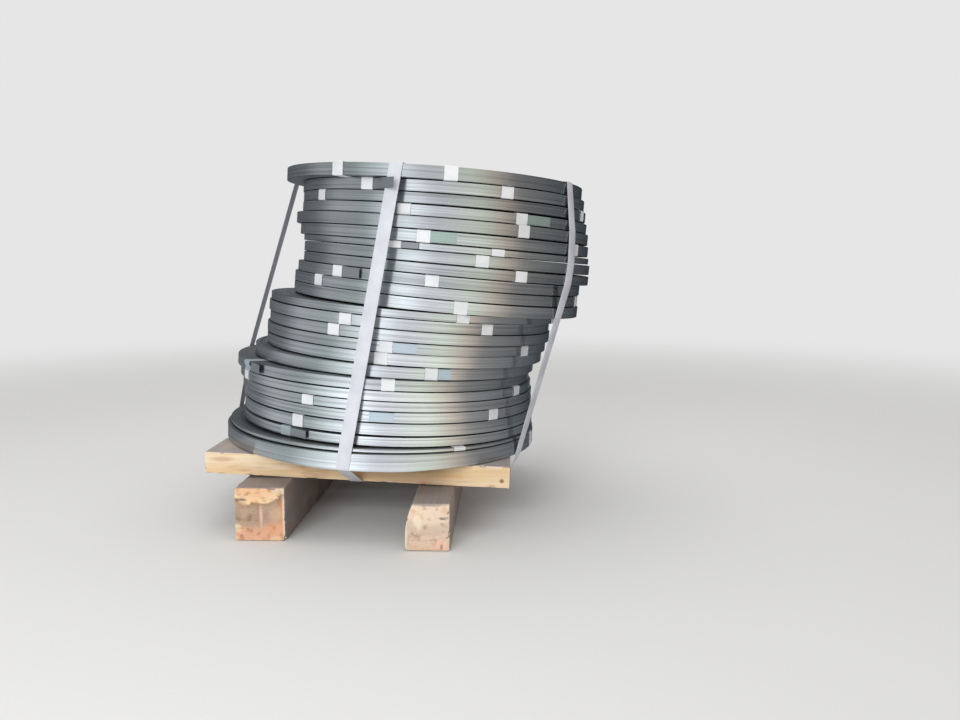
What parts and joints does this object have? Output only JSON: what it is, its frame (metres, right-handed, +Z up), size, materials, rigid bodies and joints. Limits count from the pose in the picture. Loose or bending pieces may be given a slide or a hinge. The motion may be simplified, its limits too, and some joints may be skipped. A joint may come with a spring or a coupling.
{
  "type": "strapped stack of slit steel coils on a timber skid",
  "caption": "Narrow slit coils of galvanised strip, stacked eye upright and out of line on a planked timber skid, banded and held by wide steel straps",
  "frame": {"origin": "on the floor, below the middle of the whole load's box", "axes": "+X runs along the deck planks to the viewer's right and is the longest extent, +Y points away from the viewer along the bearers, +Z is up and is the shortest extent"},
  "size_m": [0.9498, 0.902, 0.8613],
  "materials": {
    "strip_steel": "smooth galvanised strip wound tight, satin, with soft vertical highlights",
    "strapping": "bright smooth steel strapping",
    "seal_steel": "crimped sheet steel",
    "deck_timber": "rough sawn pine, dry and dusty",
    "bearer_timber": "rough sawn softwood, weathered on top"
  },
  "bodies": {
    "root": {"left_bearer": "bearer_timber", "right_bearer": "bearer_timber", "deck_plank_1": "deck_timber", "deck_plank_2": "deck_timber", "deck_plank_3": "deck_timber", "deck_plank_4": "deck_timber", "coil_01": "strip_steel", "coil_02": "strip_steel", "coil_03": "strip_steel", "coil_04": "strip_steel", "coil_05": "strip_steel", "coil_06": "strip_steel", "coil_07": "strip_steel", "coil_08": "strip_steel", "coil_09": "strip_steel", "coil_10": "strip_steel", "coil_11": "strip_steel", "coil_12": "strip_steel", "coil_13": "strip_steel", "coil_14": "strip_steel", "coil_15": "strip_steel", "coil_16": "strip_steel", "coil_17": "strip_steel", "coil_18": "strip_steel", "coil_19": "strip_steel", "coil_20": "strip_steel", "coil_21": "strip_steel", "coil_22": "strip_steel", "coil_23": "strip_steel", "coil_24": "strip_steel", "coil_25": "strip_steel", "coil_26": "strip_steel", "bands_of_coils_01_to_03": "strapping", "bands_of_coils_04_to_06": "strapping", "bands_of_coils_07_to_09": "strapping", "bands_of_coils_10_to_12": "strapping", "bands_of_coils_13_to_15": "strapping", "bands_of_coils_16_to_18": "strapping", "bands_of_coils_19_to_21": "strapping", "bands_of_coils_22_to_24": "strapping", "bands_of_coils_25_to_26": "strapping", "side_to_side_load_strap": "strapping", "side_to_side_strap_seal": "seal_steel", "front_to_back_load_strap": "strapping", "front_to_back_strap_seal": "seal_steel"}
  },
  "joints": []
}
